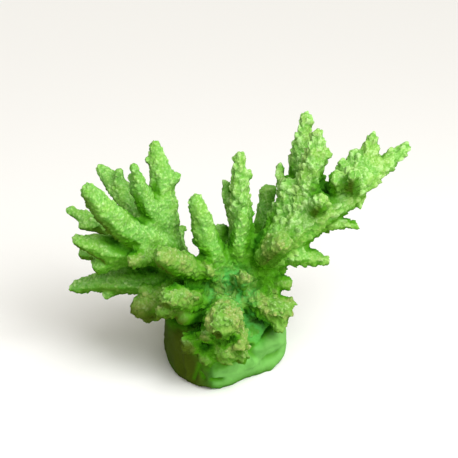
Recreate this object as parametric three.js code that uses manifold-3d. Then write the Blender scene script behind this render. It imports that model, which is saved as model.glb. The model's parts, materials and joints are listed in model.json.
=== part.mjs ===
// Finger coral on its rock plug, in millimetres, +Z up, seen from the front along +Y.
// The origin is the middle of the flat cut under the rock. The coral is split at its forks:
// a trunk, a left limb, a right arm, and every finger and stub that grows out of them.
import * as THREE from "three";
import { mergeVertices } from "three/addons/utils/BufferGeometryUtils.js";
import Module from "manifold-3d";

const wasm = await Module();
wasm.setup();

// Driving dimensions
const ROCK_HEIGHT = 30;
const ROCK_ROUND_HEIGHT = 9; // height of the worn, rounded edge at top and bottom
const ROCK_ROUND_INSET = 3.5; // how far that edge draws in
const ROCK_ROUND_STEPS = 3;
const ROCK_OUTLINE_STEPS = 24;
const FORK_GAP = 0.3; // clearance between two neighbouring pieces
const FINGER_SIDES = 8;
const KNOB_SIDES = 6;
const RING_STEP = 14; // distance between rings along a finger
const TIP_STEPS = 2; // rings in a finger's domed tip
const ROUGHNESS = 0.75;

// The rock's widest outline seen from above: a blunt nose at the front, a flat to its right.
const ROCK_OUTLINE = [
  [31.4, 4],
  [26, 19],
  [8, 27],
  [-13, 26],
  [-27, 15],
  [-31, -2],
  [-28, -13],
  [-19, -24],
  [-7, -33],
  [1, -29],
  [13.6, -20],
  [27, -9],
];

// Each branch: centreline points from the fork to the tip, and the radius at each of them.
// A knob is a short side lobe of the same piece. Later branches are cut back by earlier ones.
const STEMS = [
  { name: "trunk", route: [[0, 1, 19], [-1, 1, 33], [1, 1, 46], [4, 1, 60]], radii: [25, 22, 18, 11] },
  {
    name: "left_limb",
    route: [[-5, -2, 41], [-19, -2, 50], [-29, -1, 62], [-31, 1, 76], [-31, 3, 100], [-35, 7, 121]],
    radii: [10, 9, 8.2, 7.8, 6, 2.6],
    knobs: [
      { route: [[-31, 2, 96], [-22, 1, 105]], radii: [5.4, 2.4] },
      { route: [[-33, 5, 107], [-39, 4, 112]], radii: [2.4, 1.4] },
    ],
  },
  {
    name: "right_arm",
    route: [[9, 0, 48], [29, -2, 71], [47, 0, 86], [63, 6, 95], [78, 14, 103], [93, 22, 112]],
    radii: [11, 10.5, 10, 8.8, 6.2, 3],
    knobs: [
      { route: [[58, 10, 98], [58, 14, 107]], radii: [3, 2.2] },
      { route: [[62, 11, 99], [65, 18, 111]], radii: [4, 2.4] },
      { route: [[39, 2, 74], [48, 4, 70]], radii: [4.5, 2.2] },
    ],
  },
];

const LEFT_FINGERS = [
  {
    name: "left_high_finger",
    route: [[-32, -3, 68], [-48, -16, 83], [-58, -25, 98], [-65, -32, 113]],
    radii: [7.5, 7.2, 6.4, 4],
  },
  {
    name: "left_front_finger",
    route: [[-32, -1, 78], [-39, -8, 94], [-42, -12, 105], [-43, -17, 117]],
    radii: [6.5, 5.6, 4.4, 2],
    knobs: [{ route: [[-41, -10, 100], [-46, -10, 110]], radii: [3, 1.6] }],
  },
  {
    name: "left_broad_finger",
    route: [[-30, -3, 64], [-50, -10, 69], [-61, -14, 72], [-74, -19, 79]],
    radii: [7.5, 7.4, 7, 3],
    knobs: [
      { route: [[-56, -6, 67], [-74, -2, 63]], radii: [6, 3.2] },
      { route: [[-51, -9, 66], [-66, -13, 60]], radii: [6.8, 5] },
    ],
  },
  {
    name: "left_rear_finger",
    route: [[-34, 6, 72], [-46, 13, 83], [-55, 20, 90], [-65, 26, 99]],
    radii: [6.5, 6.6, 5.8, 3],
    knobs: [{ route: [[-52, 16, 88], [-54, 17, 101]], radii: [4, 2.4] }],
  },
  {
    name: "left_far_finger",
    route: [[-34, 3, 68], [-56, 12, 70], [-68, 16, 73], [-81, 21, 77]],
    radii: [6, 5.4, 5, 2],
    knobs: [{ route: [[-63, 13, 73], [-75, 15, 70]], radii: [4.6, 2.4] }],
  },
  {
    name: "left_low_finger",
    route: [[-20, 0, 47], [-46, 2, 46], [-62, 5, 44], [-80, 8, 38]],
    radii: [9, 8.8, 6.2, 2.8],
    knobs: [{ route: [[-55, 3, 42], [-62, 0, 36]], radii: [3, 1.6] }],
  },
  { name: "left_facing_stub", route: [[-34, -5, 66], [-46, -26, 70]], radii: [5.5, 4.4] },
  {
    name: "left_inner_finger",
    route: [[-10, -8, 54], [-22, -24, 68], [-32, -38, 81]],
    radii: [7.5, 6.6, 5],
  },
  {
    name: "left_hanging_stub",
    route: [[-17, -6, 47], [-36, -17, 44], [-46, -21, 39]],
    radii: [6.5, 7.2, 5.8],
    knobs: [
      { route: [[-35, -16, 46], [-42, -18, 53]], radii: [4.5, 3] },
      { route: [[-36, -15, 40], [-40, -16, 30.5]], radii: [5.8, 4.6] },
    ],
  },
  {
    name: "left_rear_stub",
    route: [[-22, 0, 54], [-26, 14, 60], [-27, 29, 64]],
    radii: [6.5, 5.4, 4],
    knobs: [{ route: [[-25, 20, 62], [-21, 27, 65]], radii: [3.4, 2] }],
  },
];

const FRONT_FINGERS = [
  {
    name: "front_club_finger",
    route: [[0, -6, 37], [-1, -32, 43], [-1, -52, 50]],
    radii: [9, 10, 8],
    knobs: [
      { route: [[3, -24, 35], [8, -43, 32]], radii: [7, 5] },
      { route: [[-4, -24, 38], [-10, -39, 34]], radii: [6.5, 4.4] },
    ],
  },
  {
    name: "front_lower_lobe",
    route: [[-1, -16, 33], [1, -42, 26]],
    radii: [9.5, 7],
    knobs: [
      { route: [[3, -24, 29], [10, -38, 22]], radii: [5.4, 4.4] },
      { route: [[-1, -26, 28], [1, -40, 20]], radii: [5.4, 4] },
    ],
  },
  {
    name: "front_left_stub",
    route: [[-6, -8, 41], [-18, -24, 49], [-29, -41, 59]],
    radii: [7, 7.4, 6],
    knobs: [{ route: [[-19, -24, 47], [-32, -37, 48]], radii: [6, 4.4] }],
  },
  { name: "front_left_button", route: [[-8, -12, 37], [-22, -33, 43]], radii: [5.5, 4.4] },
  { name: "front_thorny_stub", route: [[-7, -12, 26], [-19, -38, 29]], radii: [6.5, 5.4] },
  { name: "front_low_stub", route: [[-4, -16, 28], [-10, -38, 20]], radii: [6, 4.4] },
  { name: "centre_left_stub", route: [[-4, -7, 47], [-9, -22, 66]], radii: [6.5, 4.8] },
  { name: "centre_right_stub", route: [[6, -7, 44], [10, -24, 62]], radii: [5.5, 4] },
];

const CENTRE_FINGERS = [
  {
    name: "centre_left_finger",
    route: [[0, -4, 50], [-7, -10, 70], [-11, -12, 85], [-15, -16, 101]],
    radii: [8.4, 6.9, 5.7, 3.5],
    knobs: [{ route: [[-8, -8, 68], [-16, -6, 73]], radii: [4, 2.2] }],
  },
  {
    name: "centre_tall_finger",
    route: [[5, 0, 50], [8.6, 0, 72], [7.8, 2, 93], [7.3, 4, 116]],
    radii: [8, 6.4, 5.5, 3],
    knobs: [
      { route: [[8, 3, 98], [13, 3, 105]], radii: [3, 1.8] },
      { route: [[8, 3, 78], [3, 9, 85], [1, 11, 97]], radii: [4.6, 4.2, 2.8] },
    ],
  },
  {
    name: "centre_short_finger",
    route: [[6, -4, 58], [8, -9, 79], [9, -11, 92]],
    radii: [7, 5, 2.8],
  },
  { name: "centre_rear_finger", route: [[2, 5, 50], [-2, 10, 74]], radii: [6.5, 4] },
  { name: "centre_side_finger", route: [[8, 9, 50], [10, 16, 70], [9, 20, 87]], radii: [6.5, 4.6, 2.8] },
];

const RIGHT_FINGERS = [
  {
    name: "right_tall_finger",
    route: [[26, 4, 64], [37, 14, 88], [38.4, 18, 110], [40.6, 22, 130]],
    radii: [8, 6.8, 5.6, 3.1],
    knobs: [
      { route: [[40, 20, 116], [44, 20, 127]], radii: [3, 1.8] },
      { route: [[38, 17, 95], [33, 22, 107]], radii: [4.6, 3] },
    ],
  },
  {
    name: "right_thick_finger",
    route: [[33, 0, 74], [40, 0, 95], [43, -2, 110], [45, -4, 130]],
    radii: [8, 7, 6.6, 2.8],
    knobs: [{ route: [[44, -2, 110], [51, -3, 120]], radii: [4.2, 1.8] }],
  },
  {
    name: "right_slim_finger",
    route: [[20, 2, 60], [29, 3, 85], [32, 1, 103]],
    radii: [8, 5.6, 3.6],
    knobs: [{ route: [[30, 5, 88], [27, 16, 104]], radii: [4, 2.4] }],
  },
  {
    name: "right_rear_finger",
    route: [[13, 12, 50], [20, 26, 69], [22, 32, 86]],
    radii: [7, 5, 3.6],
    knobs: [{ route: [[22, 29, 75], [26, 31, 86]], radii: [3, 1.5] }],
  },
  {
    name: "arm_upper_finger",
    route: [[62, 7, 95], [71, 14, 107], [75, 19, 120]],
    radii: [8.4, 6.8, 2.8],
  },
  { name: "arm_top_stub", route: [[54, 3, 92], [54, -10, 109]], radii: [5.5, 3.8] },
  { name: "arm_facing_stub", route: [[63, 2, 96], [62, -16, 113]], radii: [5.5, 3.6] },
  { name: "arm_front_stub", route: [[44, -1, 86], [47, -17, 100]], radii: [6, 4.4] },
  { name: "arm_under_stub", route: [[58, 5, 94], [69, 6, 86]], radii: [6, 3.4] },
  { name: "arm_spur", route: [[42, 1, 83], [58, 2, 76.5], [67, 2, 77.5]], radii: [7, 5, 1.9] },
  {
    name: "right_low_finger",
    route: [[16, -1, 60], [33, -6, 63.5], [42, -6, 64.4], [52, -6, 59.5]],
    radii: [6.8, 5.4, 4.9, 3],
  },
  { name: "right_facing_stub", route: [[17, -3, 60], [29, -28, 83]], radii: [7.5, 5.8] },
  {
    name: "right_inner_stub",
    route: [[10, 0, 48], [25, -8, 50], [33, -14, 52]],
    radii: [7, 6, 3.8],
    knobs: [{ route: [[23, -5, 51], [31, -4, 56]], radii: [3.4, 1.8] }],
  },
  {
    name: "right_base_lobe",
    route: [[6, -6, 44], [22, -14, 40], [33, -21, 37]],
    radii: [8, 8.6, 7.4],
    knobs: [
      { route: [[24, -14, 40], [35, -19, 44]], radii: [5.4, 3.2] },
      { route: [[23, -14, 36], [29, -23, 30]], radii: [5.4, 3.8] },
    ],
  },
];

const BACK_FINGERS = [
  { name: "back_low_finger", route: [[0, 8, 38], [0, 34, 36], [-1, 52, 39]], radii: [9, 6.4, 3.2] },
  { name: "back_left_finger", route: [[-6, 8, 42], [-22, 30, 40], [-33, 45, 42]], radii: [8, 5.8, 3] },
  { name: "back_right_finger", route: [[7, 8, 44], [20, 30, 43], [29, 45, 46]], radii: [8, 5.8, 3] },
  { name: "back_limb_finger", route: [[-29, 2, 66], [-33, 20, 69], [-37, 32, 76]], radii: [7, 5, 3] },
  { name: "back_middle_finger", route: [[0, 6, 52], [-6, 24, 56], [-8, 38, 60]], radii: [7.5, 5.2, 3] },
  { name: "back_shoulder_finger", route: [[32, 6, 74], [36, 26, 77], [39, 40, 86]], radii: [7.5, 5, 3] },
  { name: "back_arm_finger", route: [[48, 2, 86], [56, 22, 81], [62, 35, 82]], radii: [7.5, 5, 2.8] },
  { name: "back_side_finger", route: [[-30, 2, 66], [-50, 22, 60], [-60, 32, 56]], radii: [6, 5, 3] },
];

const ROCK_COLOUR = "#4f8f30";
const GROUPS = [
  { branches: STEMS, colour: "#6fb645" },
  { branches: LEFT_FINGERS, colour: "#86c45f" },
  { branches: FRONT_FINGERS, colour: "#7fa954" },
  { branches: CENTRE_FINGERS, colour: "#88cb58" },
  { branches: RIGHT_FINGERS, colour: "#96d66c" },
  { branches: BACK_FINGERS, colour: "#6aa63e" },
];

// A closed geometry as a solid for joining and cutting.
function toSolid(geometry) {
  geometry.deleteAttribute("normal");
  geometry.deleteAttribute("uv");
  const merged = mergeVertices(geometry, 1e-4);
  return new wasm.Manifold(
    new wasm.Mesh({
      numProp: 3,
      vertProperties: new Float32Array(merged.attributes.position.array),
      triVerts: new Uint32Array(merged.index.array),
    }),
  );
}

function toGeometry(solid) {
  const mesh = solid.getMesh();
  const geometry = new THREE.BufferGeometry();
  geometry.setAttribute("position", new THREE.BufferAttribute(mesh.vertProperties, 3));
  geometry.setIndex(new THREE.BufferAttribute(mesh.triVerts, 1));
  geometry.computeVertexNormals();
  return geometry;
}

// The rock: an upright plug with rounded edges, flat underneath. swell grows it all round.
function rockSolid(swell) {
  const corners = ROCK_OUTLINE.map(([x, y]) => new THREE.Vector3(x, y, 0));
  const loop = new THREE.CatmullRomCurve3(corners, true, "centripetal");
  const rim = loop.getSpacedPoints(ROCK_OUTLINE_STEPS).slice(0, -1);
  const outline = new THREE.Shape(rim.map((point) => new THREE.Vector2(point.x, point.y)));
  const plug = new THREE.ExtrudeGeometry(outline, {
    depth: ROCK_HEIGHT - 2 * ROCK_ROUND_HEIGHT,
    bevelThickness: ROCK_ROUND_HEIGHT + swell,
    bevelSize: ROCK_ROUND_INSET,
    bevelOffset: swell - ROCK_ROUND_INSET,
    bevelSegments: ROCK_ROUND_STEPS,
    steps: 1,
  });
  plug.translate(0, 0, ROCK_ROUND_HEIGHT);
  return toSolid(plug);
}

// The radius at a fraction of the way along, from the radii given at the route's points.
function radiusAlong(radii, fraction) {
  const place = fraction * (radii.length - 1);
  const before = Math.min(Math.floor(place), radii.length - 2);
  return THREE.MathUtils.lerp(radii[before], radii[before + 1], place - before);
}

// The profile of a straight finger standing on the axis: [radius, height] from root to tip.
// swell moves the whole surface outwards.
function fingerProfile(radii, length, swell) {
  const tipRadius = radii[radii.length - 1];
  const shaft = length - tipRadius;
  const rings = Math.max(2, Math.round(shaft / RING_STEP));
  const profile = [new THREE.Vector2(0, -swell), new THREE.Vector2(radii[0] + swell, -swell)];
  for (let ring = 1; ring <= rings; ring += 1) {
    const fraction = ring / rings;
    profile.push(new THREE.Vector2(radiusAlong(radii, fraction) + swell, fraction * shaft));
  }
  for (let step = 1; step < TIP_STEPS; step += 1) {
    const angle = (step / TIP_STEPS) * (Math.PI / 2);
    const height = shaft + (tipRadius + swell) * Math.sin(angle);
    profile.push(new THREE.Vector2((tipRadius + swell) * Math.cos(angle), height));
  }
  profile.push(new THREE.Vector2(0, length + swell));
  return profile;
}

// One finger: a lathed shaft with a domed tip, bent along its route.
function fingerSolid({ route, radii }, sides, swell) {
  const curve = new THREE.CatmullRomCurve3(route.map((point) => new THREE.Vector3(...point)));
  const length = curve.getLength();
  const shaft = new THREE.LatheGeometry(fingerProfile(radii, length, swell), sides);
  const across = new THREE.Vector3(0, 1, 0);
  if (Math.abs(curve.getTangentAt(0.5).y) > Math.SQRT1_2) {
    across.set(1, 0, 0);
  }
  const place = shaft.attributes.position;
  for (let index = 0; index < place.count; index += 1) {
    const along = THREE.MathUtils.clamp(place.getY(index) / length, 0, 1);
    const tangent = curve.getTangentAt(along);
    const side = new THREE.Vector3().crossVectors(across, tangent).normalize();
    const front = new THREE.Vector3().crossVectors(side, tangent);
    const point = curve.getPointAt(along);
    point.addScaledVector(tangent, place.getY(index) - along * length);
    point.addScaledVector(side, place.getX(index));
    point.addScaledVector(front, place.getZ(index));
    place.setXYZ(index, point.x, point.y, point.z);
  }
  return toSolid(shaft);
}

// A branch with its knobs, all in one solid.
function branchSolid(branch, swell) {
  let solid = fingerSolid(branch, FINGER_SIDES, swell);
  for (const knob of branch.knobs ?? []) {
    solid = solid.add(fingerSolid(knob, KNOB_SIDES, swell));
  }
  return solid;
}

function largestPart(solid) {
  const parts = solid.decompose();
  return parts.reduce((best, part) => (part.volume() > best.volume() ? part : best));
}

function namedMesh(name, solid, colour) {
  const material = new THREE.MeshStandardMaterial({ color: colour, roughness: ROUGHNESS, metalness: 0 });
  const mesh = new THREE.Mesh(toGeometry(solid), material);
  mesh.name = name;
  return mesh;
}

// Builds the rock, then every branch cut back by a gap from all that was built before it.
function buildCoral() {
  const coral = new THREE.Group();
  coral.add(namedMesh("rock_base", rockSolid(0), ROCK_COLOUR));
  let taken = rockSolid(FORK_GAP);
  for (const { branches, colour } of GROUPS) {
    for (const branch of branches) {
      const solid = largestPart(branchSolid(branch, 0).subtract(taken));
      coral.add(namedMesh(branch.name, solid, colour));
      taken = taken.add(branchSolid(branch, FORK_GAP));
    }
  }
  return coral;
}

export default buildCoral();
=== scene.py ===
"""Finger coral on its rock plug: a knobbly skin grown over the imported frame."""

import json
import logging
import math
from collections.abc import Iterator
from contextlib import contextmanager
from dataclasses import dataclass, field
from enum import Enum

import bmesh
import bpy
import numpy as np
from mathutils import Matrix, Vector
from mathutils.bvhtree import BVHTree
from mathutils.kdtree import KDTree

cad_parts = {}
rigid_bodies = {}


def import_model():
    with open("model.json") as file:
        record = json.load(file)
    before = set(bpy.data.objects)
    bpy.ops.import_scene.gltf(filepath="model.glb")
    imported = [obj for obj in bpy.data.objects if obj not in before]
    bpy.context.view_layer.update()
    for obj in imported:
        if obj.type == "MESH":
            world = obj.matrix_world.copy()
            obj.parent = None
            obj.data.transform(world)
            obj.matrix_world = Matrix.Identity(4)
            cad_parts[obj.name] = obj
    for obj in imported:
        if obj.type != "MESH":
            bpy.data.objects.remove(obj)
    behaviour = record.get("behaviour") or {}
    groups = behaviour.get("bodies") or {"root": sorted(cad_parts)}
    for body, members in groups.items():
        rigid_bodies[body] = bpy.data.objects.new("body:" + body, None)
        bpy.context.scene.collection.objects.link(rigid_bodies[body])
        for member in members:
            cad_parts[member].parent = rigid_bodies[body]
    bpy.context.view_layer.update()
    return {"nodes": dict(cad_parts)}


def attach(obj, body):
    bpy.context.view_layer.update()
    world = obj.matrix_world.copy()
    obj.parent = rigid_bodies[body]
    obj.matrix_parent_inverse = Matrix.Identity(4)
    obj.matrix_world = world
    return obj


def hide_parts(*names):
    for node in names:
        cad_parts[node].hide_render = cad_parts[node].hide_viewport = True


LOG = logging.getLogger("finger_coral")
MM = 0.001  # metres in a millimetre
ROCK = "rock_base"
STEMS = ("trunk", "left_limb", "right_arm")
# What the skin tells its colours at each place: see CupField.
READINGS = (
    "relief",
    "pocket",
    "tan",
    "spread",
    "up",
    "side",
    "low_left_shade",
    "dye",
    "frost_and_top_light",
)


def linear(colour: str) -> tuple[float, float, float, float]:
    """Turns an sRGB hex colour into a linear RGBA one.

    Args:
        colour: Six hex digits after a hash.

    Returns:
        Linear red, green and blue, with an alpha of 1.
    """
    parts = [int(colour[i : i + 2], 16) / 255 for i in (1, 3, 5)]
    red, green, blue = [
        p / 12.92 if p <= 0.04045 else ((p + 0.055) / 1.055) ** 2.4 for p in parts
    ]
    return red, green, blue, 1.0


def add_node(
    tree: bpy.types.NodeTree,
    kind: str,
    settings: dict[str, object] | None = None,
    inputs: dict[str | int, object] | None = None,
) -> bpy.types.Node:
    """Adds one node with its settings and links.

    Args:
        tree: The node tree that gets the node.
        kind: The node's type name.
        settings: Properties of the node and their values.
        inputs: Input sockets, each with a value or with the output that feeds it.

    Returns:
        The new node.
    """
    node = tree.nodes.new(kind)
    for name, value in (settings or {}).items():
        setattr(node, name, value)
    for socket, value in (inputs or {}).items():
        if isinstance(value, bpy.types.NodeSocket):
            tree.links.new(value, node.inputs[socket])
        else:
            node.inputs[socket].default_value = value
    return node


def read_column(
    items: bpy.types.bpy_prop_collection,
    name: str,
    width: int,
    kind: type = np.float32,
) -> np.ndarray:
    """Copies one property of a mesh's items into an array.

    Args:
        items: The mesh's vertices, edges, corners or attribute values.
        name: The property's name.
        width: How many numbers the property has.
        kind: The type of the numbers.

    Returns:
        One item to a row.
    """
    flat = np.empty(len(items) * width, kind)
    items.foreach_get(name, flat)
    return flat.reshape(-1, width)


def shell_of(node: bpy.types.Object) -> tuple[list[Vector], list[tuple[int, ...]]]:
    """Lists a node's corners and its triangles.

    Args:
        node: One of the frame's nodes.

    Returns:
        The corners in metres, and three corner numbers to a triangle.
    """
    node.data.calc_loop_triangles()
    corners = [vert.co.copy() for vert in node.data.vertices]
    return corners, [tuple(t.vertices) for t in node.data.loop_triangles]


@contextmanager
def editing(piece: bpy.types.Object) -> Iterator[None]:
    """Holds one piece in Edit Mode for the operators that need it.

    Args:
        piece: The only piece that is selected.

    Yields:
        Nothing.
    """
    bpy.ops.object.select_all(action="DESELECT")
    piece.select_set(True)
    bpy.context.view_layer.objects.active = piece
    bpy.ops.object.mode_set(mode="EDIT")
    yield
    bpy.ops.object.mode_set(mode="OBJECT")


def smooth_step(low: float, high: float, value: np.ndarray) -> np.ndarray:
    """Rises smoothly from 0 at low to 1 at high.

    Args:
        low: Where the result is 0.
        high: Where the result is 1. It may be below low.
        value: The numbers to place between them.

    Returns:
        Numbers from 0 to 1.
    """
    share = np.clip((value - low) / (high - low), 0, 1)
    return share * share * (3 - 2 * share)


def unit(vectors: np.ndarray) -> np.ndarray:
    """Gives each row a length of 1."""
    return vectors / np.maximum(np.linalg.norm(vectors, axis=-1, keepdims=True), 1e-9)


def joined_groups(count: int, pairs: np.ndarray) -> np.ndarray:
    """Numbers the groups that a list of pairs joins.

    Args:
        count: How many items there are.
        pairs: Two item numbers to a row.

    Returns:
        For each item the lowest item number in its group.
    """
    root = np.arange(count)
    while True:
        ends = root[pairs]
        apart = ends[:, 0] != ends[:, 1]
        if not apart.any():
            return root
        low, high = ends[apart].min(1), ends[apart].max(1)
        np.minimum.at(root, high, low)
        while (root[root] != root).any():
            root = root[root]


@dataclass(frozen=True)
class Grain:
    """A repeatable soft noise in space.

    Attributes:
        seed: Picks the pattern.
        size: Size of one lattice cell in mm.
        cells: Number of lattice cells before the pattern repeats.
    """

    seed: int
    size: float
    cells: int = 32

    def at(self, places: np.ndarray) -> np.ndarray:
        """Reads the noise.

        Args:
            places: One place to a row, in mm.

        Returns:
            Numbers from -1 to 1.
        """
        table = np.random.default_rng(self.seed).uniform(-1, 1, (self.cells,) * 3)
        place = places / self.size
        low = np.floor(place).astype(int)
        share = place - low
        share = share * share * (3 - 2 * share)
        total = np.zeros(len(places))
        for corner in np.ndindex(2, 2, 2):
            cell = (low + corner) % self.cells
            weight = np.where(corner, share, 1 - share).prod(1)
            total += weight * table[cell[:, 0], cell[:, 1], cell[:, 2]]
        return total


@dataclass(frozen=True)
class Texture:
    """How the coral's surface grows.

    Attributes:
        spacing: Distance between two cups in mm.
        radius: Radius of a cup in mm.
        height: How far the tallest cups stand up in mm.
        sharpness: How pointed a cup is: 1 for a dome and more for a spike.
        lumps: Height of the swellings under the cups in mm.
        tan: How brown the cups' ends are, from 0 to 1.
    """

    spacing: float
    radius: float
    height: float
    sharpness: float
    lumps: float
    tan: float


class Crust(Enum):
    """The kinds of surface, from the finest cups to the bare rock."""

    FINE = Texture(2.5, 1.5, 0.95, 1.6, 0.7, 0.12)
    ARM = Texture(3.4, 2.1, 1.9, 1.3, 1.0, 0.3)
    STEM = Texture(3.0, 1.7, 0.9, 1.2, 0.6, 0.0)
    LOBE = Texture(2.9, 1.8, 2.1, 1.5, 1.3, 0.85)
    FACING = Texture(2.7, 1.7, 1.5, 1.5, 0.8, 0.7)
    BUTTON = Texture(4.5, 1.6, 0.25, 1.0, 0.3, 0.0)
    ROCK = Texture(3.0, 1.0, 0.0, 1.0, 0.0, 0.0)


# The crust of every node that isn't FINE.
CRUSTS = {
    ROCK: Crust.ROCK,
    "trunk": Crust.STEM,
    "right_arm": Crust.ARM,
    "left_facing_stub": Crust.FACING,
    "left_inner_finger": Crust.FACING,
    "left_hanging_stub": Crust.FACING,
    "front_club_finger": Crust.LOBE,
    "front_lower_lobe": Crust.LOBE,
    "front_left_stub": Crust.LOBE,
    "front_left_button": Crust.BUTTON,
    "front_thorny_stub": Crust.LOBE,
    "front_low_stub": Crust.FACING,
    "centre_left_stub": Crust.LOBE,
    "centre_right_stub": Crust.LOBE,
    "centre_tall_finger": Crust.ARM,
    "arm_top_stub": Crust.ARM,
    "arm_facing_stub": Crust.ARM,
    "arm_front_stub": Crust.ARM,
    "arm_under_stub": Crust.ARM,
    "arm_upper_finger": Crust.ARM,
    "arm_spur": Crust.ARM,
    "right_tall_finger": Crust.ARM,
    "right_thick_finger": Crust.ARM,
    "right_slim_finger": Crust.ARM,
    "right_low_finger": Crust.ARM,
    "right_facing_stub": Crust.FACING,
    "right_inner_stub": Crust.FACING,
    "right_base_lobe": Crust.LOBE,
}


@dataclass
class Body:
    """The smooth flesh of the colony: all nodes joined in one surface, without cups.

    Attributes:
        swell: How far each node grows before they are joined, in mm, to close forks.
        sharp_limit: The most that the growth is stretched at a sharp corner.
        coarse: Voxel size of the joined surface that rounds the forks, in mm.
        fine: Voxel size of the final surface, in mm.
        rounding: Smoothing steps on the coarse surface.
        polish: Smoothing steps on the fine surface.
        rock_wear: Further smoothing steps on the rock.
        wear_fade: Steps over which that smoothing fades out towards the coral.
        foot: Height in mm up to which the rock's underside stays flat.
        keep: A vertex's own share each time that values are evened out.
        touch: Nodes this near each other, in mm, meet at a fork.
        island_passes: How often stray islands of faces may change hands.
    """

    swell: float = 0.45
    sharp_limit: float = 1.3
    coarse: float = 0.9
    fine: float = 0.40
    rounding: int = 5
    polish: int = 2
    rock_wear: int = 45
    wear_fade: int = 12
    foot: float = 0.5
    keep: float = 0.4
    touch: float = 0.45
    island_passes: int = 4
    places: np.ndarray = field(init=False)
    normals: np.ndarray = field(init=False)
    edges: np.ndarray = field(init=False)
    faces: np.ndarray = field(init=False)
    face_nodes: np.ndarray = field(init=False)
    vertex_nodes: np.ndarray = field(init=False)
    names: list[str] = field(init=False)
    mesh: bpy.types.Mesh = field(init=False)
    rough_mesh: bpy.types.Mesh = field(init=False)

    def build(self, nodes: dict[str, bpy.types.Object]) -> None:
        """Joins the nodes and finds which node each part of the surface belongs to.

        Args:
            nodes: The frame's nodes by name.
        """
        self.names = sorted(nodes)
        joined = self.swollen(nodes)
        self.rough_mesh = self.voxelled(joined, self.coarse, self.rounding)
        self.mesh = self.voxelled(self.rough_mesh, self.fine, self.polish)
        self.keep_largest()
        self.read()
        self.share_out(nodes)
        self.wear_rock()

    def swollen(self, nodes: dict[str, bpy.types.Object]) -> bpy.types.Mesh:
        """Copies every node into one mesh and grows it.

        Args:
            nodes: The frame's nodes by name.

        Returns:
            A mesh of closed, slightly overlapping shells.
        """
        shape = bmesh.new()
        for name in self.names:
            shape.from_mesh(nodes[name].data)
        bmesh.ops.remove_doubles(shape, verts=shape.verts, dist=0.001 * MM)
        shape.normal_update()
        for vert in shape.verts:
            stretch = min(vert.calc_shell_factor(), self.sharp_limit)
            vert.co += vert.normal * stretch * self.swell * MM
        mesh = bpy.data.meshes.new("swollen")
        shape.to_mesh(mesh)
        shape.free()
        return mesh

    @staticmethod
    def voxelled(mesh: bpy.types.Mesh, size: float, steps: int) -> bpy.types.Mesh:
        """Joins a mesh's shells on a voxel grid and smooths the result.

        Args:
            mesh: The mesh to join.
            size: Voxel size in mm.
            steps: Smoothing steps.

        Returns:
            A new mesh of quads.
        """
        holder = bpy.data.objects.new("holder", mesh)
        bpy.context.scene.collection.objects.link(holder)
        voxels = holder.modifiers.new("voxels", "REMESH")
        voxels.mode = "VOXEL"
        voxels.voxel_size = size * MM
        ease = holder.modifiers.new("ease", "SMOOTH")
        ease.factor = 0.5
        ease.iterations = steps
        graph = bpy.context.evaluated_depsgraph_get()
        made = bpy.data.meshes.new_from_object(holder.evaluated_get(graph))
        bpy.data.objects.remove(holder)
        return made

    def keep_largest(self) -> None:
        """Deletes any closed bubble inside the coral."""
        count = len(self.mesh.vertices)
        edges = read_column(self.mesh.edges, "vertices", 2, int)
        groups = joined_groups(count, edges)
        numbers, sizes = np.unique(groups, return_counts=True)
        stray = np.flatnonzero(groups != numbers[sizes.argmax()])
        LOG.info("body: %d vertices, %d in bubbles", count, len(stray))
        if len(stray):
            shape = bmesh.new()
            shape.from_mesh(self.mesh)
            shape.verts.ensure_lookup_table()
            loose = [shape.verts[i] for i in stray]
            bmesh.ops.delete(shape, geom=loose, context="VERTS")
            shape.to_mesh(self.mesh)
            shape.free()

    def read(self) -> None:
        """Copies the mesh's places, normals, edges and faces into arrays, in mm."""
        mesh = self.mesh
        self.places = read_column(mesh.vertices, "co", 3).astype(float) / MM
        normals = read_column(mesh.vertex_normals, "vector", 3)
        self.normals = unit(normals.astype(float))
        self.edges = read_column(mesh.edges, "vertices", 2, int)
        self.faces = read_column(mesh.loops, "vertex_index", 1, int).reshape(-1, 4)

    def wear_rock(self) -> None:
        """Wears the rock's edges round, and leaves its flat underside where it is."""
        rock = (self.vertex_nodes == self.names.index(ROCK)).astype(float)
        lit_right = self.blurred(rock, self.wear_fade)
        share = lit_right[:, None] * (self.places[:, 2:] > self.foot)
        for _ in range(self.rock_wear):
            evened = np.stack([self.blurred(axis, 1) for axis in self.places.T], 1)
            self.places += share * (evened - self.places)
        self.mesh.vertices.foreach_set("co", (self.places * MM).ravel())
        self.mesh.update()
        self.read()

    def blurred(self, values: np.ndarray, steps: int) -> np.ndarray:
        """Evens out a value over the surface.

        Args:
            values: One number to a vertex.
            steps: How many times each vertex takes the mean of its neighbours.

        Returns:
            The evened numbers.
        """
        one, two = self.edges.T
        size = len(values)
        count = np.bincount(one, minlength=size) + np.bincount(two, minlength=size)
        count = np.maximum(count, 1)
        for _ in range(steps):
            total = np.bincount(one, values[two], size)
            total = total + np.bincount(two, values[one], size)
            values = self.keep * values + (1 - self.keep) * total / count
        return values

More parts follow.
